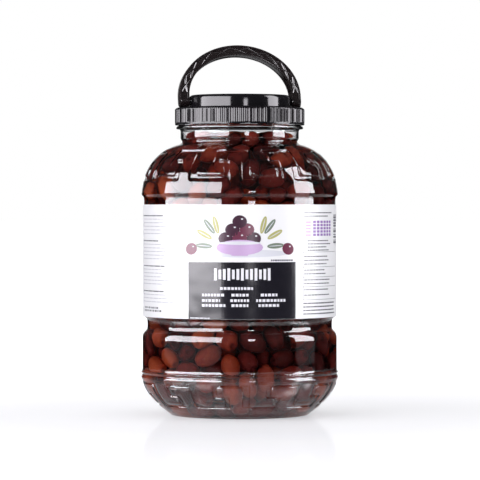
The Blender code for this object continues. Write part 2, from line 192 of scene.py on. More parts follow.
# The jar: clear PET, stretch-blown in one piece with a key pattern round its base and its
# shoulder, where the wall follows the pattern inside and out. Only the neck is moulded solid.
WALL = 1.4 * MM
JAR_COLUMNS_PER_UNIT = 18
KEY_UNITS = 11
JAR_COLUMNS = KEY_UNITS * JAR_COLUMNS_PER_UNIT
KEY_START = math.radians(15.7 - 90)
KEY_DEPTH = 1.6 * MM
KEY_SLOPE = 0.8 * MM
KEY_CREASE = 0.6
TAPER_HEIGHT = 31
TAPER_TOP = 85.2
TAPER_FOOT = 60
TAPER_POWER = 1.65
SHOULDER_CENTRE = (43.5, 196)
SHOULDER_RADIUS = 41.8
BASE_LEVELS = (8.9, 11.4, 18.2, 20.3, 28.2, 30.4)
SHOULDER_LEVELS = (205, 209.4, 217.3, 222.2, 228.8, 231.4)
KEY_BANDS = ((0, TAPER_HEIGHT), (200, 233))
FOOT_TOP = 4


def taper_radius(height):
    """The wall's radius where it tapers to the foot."""
    return TAPER_TOP - (TAPER_TOP - TAPER_FOOT) * ((TAPER_HEIGHT - height) / TAPER_HEIGHT) ** TAPER_POWER


def shoulder_radius(height):
    """The wall's radius on the round shoulder."""
    return SHOULDER_CENTRE[0] + math.sqrt(SHOULDER_RADIUS**2 - (height - SHOULDER_CENTRE[1]) ** 2)


# Rings of the blown wall from the foot up, as radius and height in millimetres.
blown = [(58.5, 0.05), (60.3, 0.25), (61.3, 1.4)]
blown += [(taper_radius(height), height) for height in (4.5, 8.9, 11.4, 14.8, 18.2, 20.3, 24, 28.2, 30.4)]
blown += [(85.3, 31.4), (86, 32.2), (86.15, 33), (86.05, 34), (85.75, 35), (85.2, 35.7), (85.1, 36.5)]
blown += [(85.6, 37.2), (86.1, 37.7), (86.2, 38.2), (85.95, 38.7), (85.2, 39.3), (85, 40.2)]
blown += [(85, 43), (85, 65), (85, 67.5), (84.9, 69.6), (84.5, 71.4), (83.6, 73), (82.2, 74.3)]
blown += [(81.2, 75.4), (80.8, 76.8), (80.8, 78.5), (80.8, 83), (81.2, 84.4), (82.6, 85.4), (83.8, 86.3)]
blown += [(84, 87.6), (84, 90), (84, 188), (84, 190.2), (84.2, 191.1), (85.2, 191.9), (85.8, 192.7)]
blown += [(86, 194), (85.9, 195.6), (85.6, 197.6)]
blown += [(shoulder_radius(h), h) for h in (200.5, 205, 209.4, 213.3, 217.3, 222.2, 225.5, 228.8, 231.4)]
blown += [(62, 233.5), (57.2, 235.5), (52.4, 236.8)]
neck = [(50.7, 238), (50.4, 239.2), (50.8, 240.4), (51.8, 241.5), (51.9, 243), (51.9, 249.2)]
neck += [(52.4, 249.9), (55.3, 250), (55.7, 250.6), (55.6, 252), (55, 252.5), (53.3, 252.7), (53.2, 254)]
neck += [(53.2, 265.3), (52.6, 266.1)]
bore = [(50.8, 266.1), (50.2, 265.3), (50.2, 243.5), (48.9, 240.2), (48.9, 238.4)]


def thin_rings(rings, spacing):
    """The rings at the key's levels, and of the rest only those that lie a spacing apart."""
    kept = [rings[0]]
    for radius, height in rings[1:]:
        far = math.dist(kept[-1], (radius, height)) > spacing
        if far or height in BASE_LEVELS or height in SHOULDER_LEVELS:
            kept.append((radius, height))
    return kept


def inset_rings(rings, inset):
    """The rings moved in along the wall's normal by an inset in millimetres."""
    moved = []
    for i, (radius, height) in enumerate(rings):
        before, after = rings[max(i - 1, 0)], rings[min(i + 1, len(rings) - 1)]
        along = Vector((after[0] - before[0], after[1] - before[1])).normalized()
        moved.append((radius - along.y * inset, height + along.x * inset))
    return moved


def turn_rings(name, rings, columns=JAR_COLUMNS, start=KEY_START - math.pi / 2):
    """A turned piece: a circle at the first ring, extruded and resized to each of the rest."""
    rings = [(radius * MM, height * MM) for radius, height in rings]
    bpy.ops.object.select_all(action="DESELECT")
    bpy.ops.mesh.primitive_circle_add(vertices=columns, radius=rings[0][0], location=(0, 0, rings[0][1]))
    piece = bpy.context.object
    piece.name = name
    piece.data.transform(Matrix.Rotation(start % (2 * math.pi / columns), 4, "Z"))
    bpy.ops.object.mode_set(mode="EDIT")
    bpy.ops.mesh.select_all(action="SELECT")
    for (radius, height), (next_radius, next_height) in zip(rings, rings[1:]):
        bpy.ops.mesh.extrude_region_move(TRANSFORM_OT_translate={"value": (0, 0, next_height - height)})
        scale = next_radius / radius
        bpy.ops.transform.resize(value=(scale, scale, 1), center_override=(0, 0, next_height))
    bpy.ops.mesh.select_all(action="SELECT")
    bpy.ops.mesh.normals_make_consistent(inside=False)
    bpy.ops.object.mode_set(mode="OBJECT")
    bpy.ops.object.transform_apply(location=True, rotation=True, scale=True)
    return piece


# The key, in columns of one unit: a riser with a bottom arm, and a hook that rises from the base.
ARM_END, HOOK_TIP, STEM_START, STEM_END, RISER_START = 4, 2, 6, 10, 13


def in_channel(column, height, levels):
    """Whether a place in a band lies in the sunk ground between the key's raised strips."""
    if not levels[0] < height < levels[5]:
        return False
    riser = column > RISER_START and height > levels[1]
    arm = column < ARM_END and levels[1] < height < levels[2]
    stem = STEM_START < column < STEM_END and height < levels[4]
    hook = HOOK_TIP < column < STEM_END and levels[3] < height < levels[4]
    return not (riser or arm or stem or hook)


def select_ground(piece, outer, inset):
    """Select the key's sunk ground on a wall that lies at an inset from the outside."""
    bpy.ops.mesh.select_mode(type="FACE")
    bpy.ops.mesh.select_all(action="DESELECT")
    work = bmesh.from_edit_mesh(piece.data)
    for face in work.faces:
        centre = face.calc_center_median() / MM
        normal = face.normal if outer else -face.normal
        if normal.x * centre.x + normal.y * centre.y < 0:
            continue
        height = centre.z + normal.z * inset
        turn = (math.atan2(centre.y, centre.x) - KEY_START) * JAR_COLUMNS / (2 * math.pi)
        column = turn % JAR_COLUMNS_PER_UNIT
        if any(in_channel(column, height, levels) for levels in (BASE_LEVELS, SHOULDER_LEVELS)):
            face.select_set(True)
    bmesh.update_edit_mesh(piece.data)


def press_key(piece, outer, inset):
    """Press the key's ground in, and crease the rims and feet of the slopes this makes."""
    bpy.context.view_layer.objects.active = piece
    bpy.ops.object.mode_set(mode="EDIT")
    select_ground(piece, outer, inset)
    bpy.ops.mesh.region_to_loop()
    bpy.ops.transform.edge_crease(value=KEY_CREASE)
    select_ground(piece, outer, inset)
    bpy.ops.mesh.inset(thickness=KEY_SLOPE, depth=-KEY_DEPTH if outer else KEY_DEPTH, use_even_offset=True)
    bpy.ops.mesh.region_to_loop()
    bpy.ops.transform.edge_crease(value=KEY_CREASE)
    bpy.ops.mesh.select_mode(type="VERT")
    bpy.ops.object.mode_set(mode="OBJECT")


def finish_piece(piece, body, slot, *nodes):
    """Hand a finished piece to its body and hide the nodes it replaces. The slot is not used."""
    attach(piece, body)
    if nodes:
        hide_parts(*nodes)


def close_ends():
    """Close the open ends of the active piece flat, with its normals outward."""
    bpy.ops.object.mode_set(mode="EDIT")
    bpy.ops.mesh.select_all(action="SELECT")
    bpy.ops.mesh.fill_holes(sides=0)
    bpy.ops.mesh.select_all(action="SELECT")
    bpy.ops.mesh.normals_make_consistent(inside=False)
    bpy.ops.object.mode_set(mode="OBJECT")


def soften_and_close(piece):
    """Apply a subdivision surface, close the open ends flat and shade the piece smooth."""
    bpy.ops.object.select_all(action="DESELECT")
    piece.select_set(True)
    bpy.context.view_layer.objects.active = piece
    subdivision = piece.modifiers.new("soften", "SUBSURF")
    subdivision.levels = subdivision.render_levels = 1
    bpy.ops.object.modifier_apply(modifier=subdivision.name)
    close_ends()
    bpy.ops.object.shade_smooth()


INNER_SPACING = 5.5
inside = thin_rings(blown, INNER_SPACING)
inner = [ring for ring in inset_rings(inside, WALL / MM) if ring[1] > FOOT_TOP]
jar = turn_rings("blown_jar", blown + neck + bore + inner[::-1] + [(59.9, 2.4), (57, 2)])
press_key(jar, True, 0)
press_key(jar, False, WALL / MM)
soften_and_close(jar)
# Clear PET: a hard glassy gloss, and the slow waves that blowing leaves, about 30 mm long, which
# bend the edges of what it reflects.
clear_pet, tree, shader = new_surface("clear_blown_pet", "#fbfbfc", 0.02, Transmission_Weight=1, IOR=1.57)
place = add_node(tree, "ShaderNodeTexCoord")
waves = add_node(tree, "ShaderNodeTexNoise", {"Scale": 33, "Detail": 1},
                 {"Vector": place.outputs["Object"]})
blow = add_node(tree, "ShaderNodeBump", {"Strength": 1, "Distance": 0.2 * MM}, {"Height": waves.outputs[0]})
tree.links.new(blow.outputs[0], shader.inputs["Normal"])
jar.data.materials.append(clear_pet)
finish_piece(jar, "jar", "clear_pet", "jar")


# The brine: thin, red-brown with what the olives give off. It reaches into the PET a little,
# so that no film of air shows, and it stands level in the neck.
BRINE_LEVEL = 241
BRINE_OVERLAP = 0.4
brine_wall = [ring for ring in inset_rings(inside, WALL / MM - BRINE_OVERLAP) if ring[1] > FOOT_TOP]
brine_rings = [(57.4, 1.6), (60.3, 1.9)] + brine_wall
brine_rings += [(49.3, 238.4), (49.3, 240.2), (49.6, BRINE_LEVEL - 0.2), (49.4, BRINE_LEVEL)]
brine = turn_rings("brine", brine_rings)
press_key(brine, True, WALL / MM - BRINE_OVERLAP)
soften_and_close(brine)
# Water with salt and olive juice, which darkens with depth.
olive_brine, tree, shader = new_surface("olive_brine", "#ffffff", 0.0, Transmission_Weight=1, IOR=1.35)
absorption = add_node(tree, "ShaderNodeVolumeAbsorption", {"Color": linear("#d2705c"), "Density": 45})
tree.links.new(absorption.outputs[0], tree.nodes["Material Output"].inputs["Volume"])
brine.data.materials.append(olive_brine)
finish_piece(brine, "jar", "olive_flesh")


# The olives: several hundred, pitted, ripe and soft, packed as they fell. They are settled
# against the wall as pairs of balls that push each other apart, round a core that nobody sees.
OLIVE_COUNT = 640
OLIVE_SEED = 7
OLIVE_RADII = (7.0, 8.5)
OLIVE_REACHES = (3.0, 5.3)
OLIVE_GAP = 0.2
BODY_HEIGHTS = (8, 236)
NECK_HEIGHTS = (236, 246)
NECK_OLIVES = 150
HEAP_TOP = 248.5
HEAP_RADIUS = 84
CORE_DEPTH = 33
CORE_TOP = 215
# Each step pushes touching balls apart by a share of their overlap and lets all of them sink.
OLIVE_STEPS = 160
PUSH_SHARE = 0.25
SINK_STEP = 0.05


def olive_wall():
    """The surface that the olives lie against, from the floor's middle up to the heap's top."""
    plain_rings = inset_rings(blown, WALL / MM + OLIVE_GAP)
    deep_rings = inset_rings(blown, WALL / MM + KEY_DEPTH / MM + OLIVE_GAP)
    wall = [(0, 2.2), (57, 2.4)]
    for plain, deep, (_, height) in zip(plain_rings, deep_rings, blown):
        if height > FOOT_TOP:
            wall.append(deep if any(low < height < high for low, high in KEY_BANDS) else plain)
    return np.array(wall + [(48.6, 238.4), (48.6, 240.2), (50, 243), (50, HEAP_TOP), (0, HEAP_TOP)])


def keep_inside(balls, radii, wall):
    """Move each ball that touches the wall back to lie against it."""
    around = np.hypot(balls[:, 0], balls[:, 1])
    flat = np.stack((around, balls[:, 2]), 1)
    start, along = wall[:-1], np.diff(wall, axis=0)
    length = np.hypot(along[:, 0], along[:, 1])
    share = np.einsum("nsk,sk->ns", flat[:, None] - start, along) / length**2
    near = start + np.clip(share, 0, 1)[..., None] * along
    pick = np.linalg.norm(flat[:, None] - near, axis=2).argmin(1)
    inward = np.stack((-along[:, 1], along[:, 0]), 1) / length[:, None]
    gap = np.einsum("nk,nk->n", flat - near[np.arange(len(flat)), pick], inward[pick])
    move = np.clip(radii - gap, 0, None)[:, None] * inward[pick]
    balls[:, :2] += balls[:, :2] / np.maximum(around, 1)[:, None] * move[:, :1]
    balls[:, 2] += move[:, 1]


def settle_olives():
    """Centres, directions and radii of the olives, after they have pushed each other apart."""
    draw = np.random.default_rng(OLIVE_SEED)
    wall = olive_wall()
    rows = wall[1:-1]
    neck_heights = draw.uniform(*NECK_HEIGHTS, NECK_OLIVES)
    heights = np.concatenate((neck_heights, draw.uniform(*BODY_HEIGHTS, OLIVE_COUNT * 4)))
    reach = np.interp(heights, rows[:, 1], rows[:, 0])
    keep = draw.uniform(0, HEAP_RADIUS, len(heights)) < reach
    heights, reach = heights[keep][:OLIVE_COUNT], reach[keep][:OLIVE_COUNT]
    count = len(heights)
    depth = draw.uniform(8, CORE_DEPTH, count)
    turn = draw.uniform(0, 2 * math.pi, count)
    around = np.maximum(reach - depth, 2)
    middle = np.stack((around * np.cos(turn), around * np.sin(turn), heights), 1)
    lie = draw.normal(size=(count, 3))
    lie /= np.linalg.norm(lie, axis=1)[:, None]
    half = draw.uniform(*OLIVE_REACHES, count)
    radii = np.tile(draw.uniform(*OLIVE_RADII, count), 2)
    balls = np.concatenate((middle + lie * half[:, None], middle - lie * half[:, None]))
    other = (np.arange(2 * count) + count) % (2 * count)
    for _ in range(OLIVE_STEPS):
        square = (balls**2).sum(1)
        apart = square[:, None] + square[None] - 2 * balls @ balls.T
        touch = radii[:, None] + radii[None]
        first, second = np.nonzero(np.triu(apart < touch**2, 1))
        strangers = other[first] != second
        first, second = first[strangers], second[strangers]
        between = balls[first] - balls[second]
        distance = np.maximum(np.linalg.norm(between, axis=1), 0.1)
        overlap = radii[first] + radii[second] - distance
        push = between / distance[:, None] * (overlap * PUSH_SHARE)[:, None]
        np.add.at(balls, first, push)
        np.add.at(balls, second, -push)
        around = np.hypot(balls[:, 0], balls[:, 1])
        core_wall = np.interp(balls[:, 2], rows[:, 1], rows[:, 0]) - CORE_DEPTH
        outward = np.clip(core_wall - around, 0, 2) * (balls[:, 2] < CORE_TOP)
        balls[:, :2] += balls[:, :2] / np.maximum(around, 1)[:, None] * outward[:, None]
        balls[:, 2] -= SINK_STEP
        middle, lie = (balls[:count] + balls[count:]) / 2, balls[:count] - balls[count:]
        lie /= np.maximum(np.linalg.norm(lie, axis=1), 0.01)[:, None]
        balls = np.concatenate((middle + lie * half[:, None], middle - lie * half[:, None]))
        keep_inside(balls, radii, wall)
    middle, lie = (balls[:count] + balls[count:]) / 2, balls[:count] - balls[count:]
    lie /= np.linalg.norm(lie, axis=1)[:, None]
    return middle, lie, radii[:count], half


def model_olive():
    """One pitted olive a millimetre round: a sphere with a hole pressed in at its stem end."""
    bpy.ops.object.select_all(action="DESELECT")
    bpy.ops.mesh.primitive_uv_sphere_add(segments=10, ring_count=8, radius=1)
    olive = bpy.context.object
    bpy.ops.object.mode_set(mode="EDIT")
    bpy.ops.mesh.select_all(action="DESELECT")
    work = bmesh.from_edit_mesh(olive.data)
    for face in work.faces:
        face.select_set(face.calc_center_median().z > 0.93)
    bmesh.update_edit_mesh(olive.data)
    bpy.ops.transform.resize(value=(0.85, 0.85, 1))
    bpy.ops.mesh.extrude_region_move(TRANSFORM_OT_translate={"value": (0, 0, -0.5)})
    bpy.ops.transform.resize(value=(0.9, 0.9, 0.2))
    bpy.ops.object.mode_set(mode="OBJECT")
    mesh = olive.data
    points = np.array([vertex.co for vertex in mesh.vertices])
    faces = [tuple(face.vertices) for face in mesh.polygons]
    bpy.data.objects.remove(olive, do_unlink=True)
    return points, faces


def join_olives(name):
    """All the settled olives as one mesh, each with its own size, bend, dents and tone."""
    draw = np.random.default_rng(OLIVE_SEED + 1)
    points, faces = model_olive()
    middle, lie, radii, half = settle_olives()
    count = len(middle)
    side = np.cross(lie, draw.normal(size=(count, 3)))
    side /= np.linalg.norm(side, axis=1)[:, None]
    third = np.cross(lie, side)
    long = points[:, 2]
    wide = draw.uniform(0.97, 1.06, (count, 2)) * radii[:, None]
    taper = 1 - 0.1 * long[None] * draw.uniform(-0.3, 1, (count, 1))
    dent_turn = draw.uniform(0, 6.3, (count, 3))
    dents = 1 + 0.03 * np.sin(3 * points[None, :, 0] + dent_turn[:, :1])
    dents += 0.03 * np.sin(3.5 * long[None] + 2 * points[None, :, 1] + dent_turn[:, 1:2])
    across = points[None, :, 0] * wide[:, :1] * taper * dents
    over = points[None, :, 1] * wide[:, 1:] * taper * dents
    outward = np.einsum("nk,nk->n", lie[:, :2], middle[:, :2])
    along = long[None] * (half + radii)[:, None] * np.where(outward > 0, 1, -1)[:, None]
    spots = across[..., None] * side[:, None] + over[..., None] * third[:, None]
    spots = (spots + along[..., None] * lie[:, None] + middle[:, None]) * MM
    mesh = bpy.data.meshes.new(name)
    everything = [tuple(v + i * len(points) for v in face) for i in range(count) for face in faces]
    mesh.from_pydata(spots.reshape(-1, 3), [], everything)
    tone = mesh.attributes.new("olive_tone", "FLOAT", "POINT")
    tone.data.foreach_set("value", np.repeat(draw.uniform(0, 1, count), len(points)))
    heap = bpy.data.objects.new(name, mesh)
    bpy.context.scene.collection.objects.link(heap)
    bpy.ops.object.select_all(action="DESELECT")
    heap.select_set(True)
    bpy.context.view_layer.objects.active = heap
    bpy.ops.object.mode_set(mode="EDIT")
    bpy.ops.mesh.select_all(action="SELECT")
    bpy.ops.mesh.normals_make_consistent(inside=False)
    bpy.ops.object.mode_set(mode="OBJECT")
    bpy.ops.object.shade_smooth()
    return heap


olives = join_olives("pitted_olives")
# Ripe olive skin, cured in brine: plum black to red brown, paler where it has rubbed.
olive_skin, tree, shader = new_surface("cured_olive_skin", "#3b1517", 0.45, Specular_IOR_Level=0.15)
tone = add_node(tree, "ShaderNodeAttribute", attribute_name="olive_tone")
place = add_node(tree, "ShaderNodeTexCoord")
mottle = add_node(tree, "ShaderNodeTexNoise", {"Scale": 150, "Detail": 3},
                  {"Vector": place.outputs["Object"]})
mixed = add_node(tree, "ShaderNodeMath", {1: 0.35}, {0: mottle.outputs[0], 2: tone.outputs["Fac"]},
                 operation="MULTIPLY_ADD")
skin_ramp = add_node(tree, "ShaderNodeValToRGB", links={"Fac": mixed.outputs[0]})
steps = ((0.1, "#431312"), (0.42, "#6f2421"), (0.75, "#95362b"), (1.0, "#c25a35"))
for element, (position, colour) in zip(list(skin_ramp.color_ramp.elements), steps):
    element.position, element.color = position, linear(colour)
for position, colour in steps[2:]:
    skin_ramp.color_ramp.elements.new(position).color = linear(colour)
tree.links.new(skin_ramp.outputs["Color"], shader.inputs["Base Color"])
wrinkle = add_node(tree, "ShaderNodeBump", {"Strength": 0.3, "Distance": 0.4 * MM},
                   {"Height": mottle.outputs[0]})
tree.links.new(wrinkle.outputs[0], shader.inputs["Normal"])
olives.data.materials.append(olive_skin)
finish_piece(olives, "jar", "olive_flesh", "olives")

# The core, which nobody sees: it keeps light from shining through between the olives.
core_rings = [(20, 12), (36, 14), (46, 24), (53, 34), (53, 188), (51, 204), (42, 222), (26, 233), (12, 236)]
core = turn_rings("heap_core", core_rings)
soften_and_close(core)
# The shade between the olives, where hardly any light comes.
deep_olives, tree, shader = new_surface("olives_in_the_dark", "#1c0b0d", 0.6, Specular_IOR_Level=0.1)
place = add_node(tree, "ShaderNodeTexCoord")
lumps = add_node(tree, "ShaderNodeTexVoronoi", {"Scale": 60}, {"Vector": place.outputs["Object"]})
relief = add_node(tree, "ShaderNodeBump", {"Strength": 0.8, "Distance": 3 * MM},
                  {"Height": lumps.outputs[0]}, invert=True)
tree.links.new(relief.outputs[0], shader.inputs["Normal"])
core.data.materials.append(deep_olives)
finish_piece(core, "jar", "olive_flesh")


# The label: white coated paper, printed in a few colours, wrapped round the panel and glued.
# Its print here is fields of colour and simple shapes, in places like those of a real label's.
LABEL_RADIUS = 84.65 * MM
LABEL_LOW = 86.6 * MM
LABEL_HIGH = 184.1 * MM
LABEL_THICKNESS = 0.3 * MM
LABEL_COLUMNS = 240
INK_HEIGHT = 0.05 * MM


def wrap(piece, radius):
    """Bend a flat sheet, drawn in X and Z, round the jar at a radius."""
    for vertex in piece.data.vertices:
        around = vertex.co.x / LABEL_RADIUS
        outside = radius - vertex.co.y
        vertex.co.x = outside * math.sin(around)
        vertex.co.y = -outside * math.cos(around)


bpy.ops.object.select_all(action="DESELECT")
bpy.ops.mesh.primitive_cylinder_add(
    vertices=LABEL_COLUMNS,
    radius=LABEL_RADIUS,
    depth=LABEL_HIGH - LABEL_LOW,
    location=(0, 0, (LABEL_LOW + LABEL_HIGH) / 2),
    end_fill_type="NOTHING",
)
label = bpy.context.object
label.name = "wrapped_label"
bpy.ops.object.transform_apply(location=True, rotation=True, scale=True)
thickness = label.modifiers.new("paper", "SOLIDIFY")
thickness.thickness = LABEL_THICKNESS
thickness.offset = -1
bpy.ops.object.modifier_apply(modifier=thickness.name)
bpy.ops.object.shade_smooth_by_angle(angle=math.radians(40))


def paper_ripple(tree, shader, strength):
    """The slow unevenness of thin paper on a jar, a few hundredths of a millimetre over 20 mm."""
    place = add_node(tree, "ShaderNodeTexCoord")
    slow = add_node(tree, "ShaderNodeTexNoise", {"Scale": 45, "Detail": 1},
                    {"Vector": place.outputs["Object"]})
    bump = add_node(tree, "ShaderNodeBump", {"Strength": strength, "Distance": MM},
                    {"Height": slow.outputs[0]})
    tree.links.new(bump.outputs[0], shader.inputs["Normal"])


def printed(name, colour, roughness=0.3, ripple=0.15):
    """A surface of printed or plain paper, with its gloss and its ripple."""
    material, tree, shader = new_surface(name, colour, roughness)
    paper_ripple(tree, shader, ripple)
    return material


# White label paper with a machine coating, half glossy.
coated_paper = printed("white_coated_label_paper", "#f2f2f5", 0.35)
label.data.materials.append(coated_paper)
finish_piece(label, "jar", "label_paper", "label")


def lay_on_label(field, name, left, right, material, layer):
    """Cut an upright flat shape into narrow strips, bend it round the label and ink it."""
    field.name = name
    bpy.ops.object.transform_apply(location=True, rotation=True, scale=True)
    bpy.ops.object.mode_set(mode="EDIT")
    for i in range(1, math.ceil((right - left) / STRIP_WIDTH)):
        bpy.ops.mesh.select_all(action="SELECT")
        bpy.ops.mesh.bisect(plane_co=((left + STRIP_WIDTH * i) * MM, 0, 0), plane_no=(1, 0, 0))
    bpy.ops.object.mode_set(mode="OBJECT")
    wrap(field, LABEL_RADIUS + INK_HEIGHT * (layer - 0.5))
    field.data.materials.append(material)
    return field


def print_field(name, left, low, right, high, material, layer=1):
    """A printed rectangle, with its corners in millimetres round and up the label."""
    bpy.ops.object.select_all(action="DESELECT")
    bpy.ops.mesh.primitive_cube_add(size=1, location=((left + right) / 2 * MM, 0, (low + high) / 2 * MM))
    field = bpy.context.object
    field.scale = ((right - left) * MM, INK_HEIGHT, (high - low) * MM)
    return lay_on_label(field, name, left, right, material, layer)


def print_oval(name, across, height, half_width, half_height, material, layer=1, lean=0):
    """A printed oval, with its middle and half sizes in millimetres and its lean in degrees."""
    bpy.ops.object.select_all(action="DESELECT")
    bpy.ops.mesh.primitive_cylinder_add(vertices=20, radius=1, depth=INK_HEIGHT)
    field = bpy.context.object
    turn = math.radians(lean)
    field.scale = (half_width * MM, half_height * MM, 1)
    field.rotation_euler = (math.pi / 2, turn, 0)
    field.location = (across * MM, 0, height * MM)
    reach = math.hypot(half_width * math.cos(turn), half_height * math.sin(turn))
    return lay_on_label(field, name, across - reach, across + reach, material, layer)


def print_lines(name, left, right, heights, line, material, seed, layer=1, block=(4, 11), gap=0.9):
    """Rows of short bars of uneven length, in place of small print."""
    draw = random.Random(seed)
    rows = []
    for height in heights:
        start = left
        stop = right - draw.uniform(0, 0.3) * (right - left)
        while start < stop - 1:
            end = min(start + draw.uniform(*block), stop)
            rows.append(print_field(name, start, height - line, end, height, material, layer))
            start = end + gap
    return rows


STRIP_WIDTH = 2.5
# The print's inks under one thin varnish. The full black lies thickest and shines most.
black_ink = printed("black_ink_on_paper", "#19181f", 0.16, 0.4)
grey_ink = printed("fine_grey_ink_on_paper", "#c0c0ca")
dark_ink = printed("fine_black_ink_on_paper", "#4c4a55")
purple_ink = printed("purple_ink_on_paper", "#8a5fb0")
lilac_ink = printed("pale_lilac_ink_on_paper", "#c9a9d6")
white_ink = printed("white_gap_in_the_ink", "#ecebf3")
shade_ink = printed("pale_grey_tint_on_paper", "#dcdde6")
plum_ink = printed("dark_plum_ink_on_paper", "#3b1c30", 0.25)
wine_ink = printed("wine_red_ink_on_paper", "#6b2a44", 0.25)
sage_ink = printed("grey_green_ink_on_paper", "#72806f")
lime_ink = printed("yellow_green_ink_on_paper", "#b3b06a")

# The front: a black field with a row of bars for a title and rows of plain blocks under it.
fields = [print_field("panel", -45.8, 86.7, 50.6, 135.1, black_ink)]
TITLE_MIDDLE, TITLE_PITCH, TITLE_BAR = 124.8, 3.85, 2.4
for i in range(13):
    tall = (10.4, 8, 9.2)[i % 3]
    left = -22 + TITLE_PITCH * i
    fields.append(print_field("title_bar", left, TITLE_MIDDLE - tall / 2, left + TITLE_BAR,
                              TITLE_MIDDLE + tall / 2, white_ink, 2))
LETTER = (1.5, 2.9)
for height, left, right in ((114, -16.8, 20.8), (108.4, -32.9, -11), (108.4, -7, 12), (108.4, 18, 38),
                            (103.7, -32.9, -12), (103.7, -8, 9), (103.7, 14, 42), (99.5, -32.9, -10),
                            (99.5, -7, 12), (99.5, 16, 38)):
    seed = height + left
    fields += print_lines("panel_line", left, right, (height,), 2.3, white_ink, seed, 2, LETTER, 0.8)
fields += print_lines("foot_line", -44, -25, (87.9,), 0.8, white_ink, 21, 2, (2, 5), 0.5)
fields += print_lines("web_line", 27, 56, (137.3,), 1.3, dark_ink, 22, 1, (1.2, 2.4), 0.4)
for i in range(20):
    low = 93.4 + 2.1 * i
    fields.append(print_field("side_line", -48.9, low, -47.5, low + 1.4, grey_ink))

# The back: plain, with a strip where one end of the label laps over the other.
SEAM_START, SEAM_END, SEAM_MARGIN = 258, 266, 0.2
seam_low, seam_high = LABEL_LOW / MM + SEAM_MARGIN, LABEL_HIGH / MM - SEAM_MARGIN
fields.append(print_field("label_seam", SEAM_START, seam_low, SEAM_END, seam_high, coated_paper, 2))

# The picture: a pale bowl heaped with round plum fruit between two fans of leaves.
fields.append(print_oval("picture_shade", 0, 142.6, 44, 3.4, shade_ink))
for side in (-1, 1):
    for i, (lean, reach) in enumerate(((15, 21), (38, 24), (62, 25), (86, 23))):
        turn = math.radians(lean)
        spot = (side * (17 + reach * math.sin(turn) * 0.62), 147.5 + reach * math.cos(turn) * 0.95)
        ink = sage_ink if i % 2 else lime_ink
        fields.append(print_oval("picture_leaf", *spot, 2.3, 7.6, ink, 2, side * lean))
        fields.append(print_oval("picture_vein", *spot, 0.35, 6.2, shade_ink, 3, side * lean))
    fields.append(print_oval("picture_fruit", side * 43, 146.4, 5.6, 5, wine_ink, 2, side * 20))
    fields.append(print_oval("picture_gleam", side * 43 + 1.8, 148.4, 0.8, 0.6, white_ink, 3))
FRUIT = ((-12, 155.2), (0, 155.8), (12, 155.2), (-6.2, 162.6), (6.2, 162.8), (0, 169.6))
for i, (across, height) in enumerate(FRUIT):
    ink = wine_ink if i % 3 == 1 else plum_ink
    fields.append(print_oval("picture_fruit", across, height, 6.2, 5.4, ink, 3 + i % 2))
    fields.append(print_oval("picture_gleam", across + 2, height + 2.2, 0.9, 0.6, white_ink, 5))
fields.append(print_oval("picture_bowl", 0, 147.6, 20, 6.6, lilac_ink, 5))
fields.append(print_oval("picture_rim", 0, 151.4, 18.4, 1.5, shade_ink, 6))
fields.append(print_field("picture_foot", -7, 140.6, 7, 142, lilac_ink, 6))

# The left side: small grey print under darker heads, and a stamped row of marks.
rows = [178 - 3.1 * i for i in range(26)]
text_rows = [row for i, row in enumerate(rows) if i % 7 > 1]
head_rows = [row for i, row in enumerate(rows) if i % 7 == 1]
fields += print_lines("small_print", -118, -62, text_rows, 0.6, grey_ink, 3)
fields += print_lines("small_print", -118, -72, head_rows, 0.9, dark_ink, 4)
fields += print_lines("stamp", -113.3, -72.7, (95.8, 93.2), 1.5, dark_ink, 6, 1, (0.8, 3), 1.6)

# The right side: a table in purple, ruled boxes with small print, and dashes at the edge.
WORD = (1.5, 5)
BOX_ROWS = (140, 136.8, 133.6, 128.4, 125.2, 120, 116.8, 111.6, 107)
fields += print_lines("right_print", 60, 107, (177.5, 174.6), 0.9, dark_ink, 8, 1, WORD, 0.5)
fields += print_lines("right_print", 64, 100, (153.5, 150.8, 148.1, 145.4), 0.9, dark_ink, 9, 1, WORD, 0.5)
fields += print_lines("right_print", 60, 100, BOX_ROWS, 0.9, dark_ink, 10, 1, WORD, 0.5)
fields += print_lines("right_print", 59, 119, (100, 97, 94, 91), 1.1, dark_ink, 12, 1, (2, 6), 0.5)
table_rows = [157.2 + 2.75 * j for j in range(5)]
fields += [print_field("table_cell", left, low, left + 3.6, low + 2, purple_ink)
           for left in (71, 76.2, 81.4, 86.6, 91.8, 97) for low in table_rows]
fields += [print_field("table_cell", 62, low, 68, low + 1.5, lilac_ink) for low in table_rows]
BOX_LEFT, BOX_RIGHT, RULE = 58.7, 116, 0.3
for low in (143.2, 102.4, 130.4, 121.8, 113.6):
    fields.append(print_field("table_rule", BOX_LEFT, low, BOX_RIGHT, low + RULE, dark_ink))
fields.append(print_field("table_rule", BOX_LEFT, 102.4, BOX_LEFT + RULE, 143.5, dark_ink))
draw = random.Random(15)
for i in range(11):
    low = 150.5 + 2.4 * i
    fields.append(print_field("edge_dash", 109, low, 121, low + draw.uniform(0.6, 1.7), dark_ink))

bpy.ops.object.select_all(action="DESELECT")
for field in fields:
    field.select_set(True)
bpy.context.view_layer.objects.active = fields[0]
bpy.ops.object.join()
label_print = fields[0]
label_print.name = "label_print"
finish_piece(label_print, "jar", "label_paper")


# The lid: black polypropylene, injection-moulded with fine grip ribs round its skirt and a raised
# disc that carries the handle on two round pins. It is screwed on.
LID_RIBS = 192
LID_COLUMNS = 4 * LID_RIBS
RIB_HEIGHT = 0.45
RIB_PROFILE = (0, 0.55, 1, 0.55)
RIB_LOW, RIB_HIGH, RIB_INSIDE = 255.2 * MM, 267.5 * MM, 56 * MM
HANDLE_TURN = math.radians(13.7)
PIVOT = 274.5 * MM


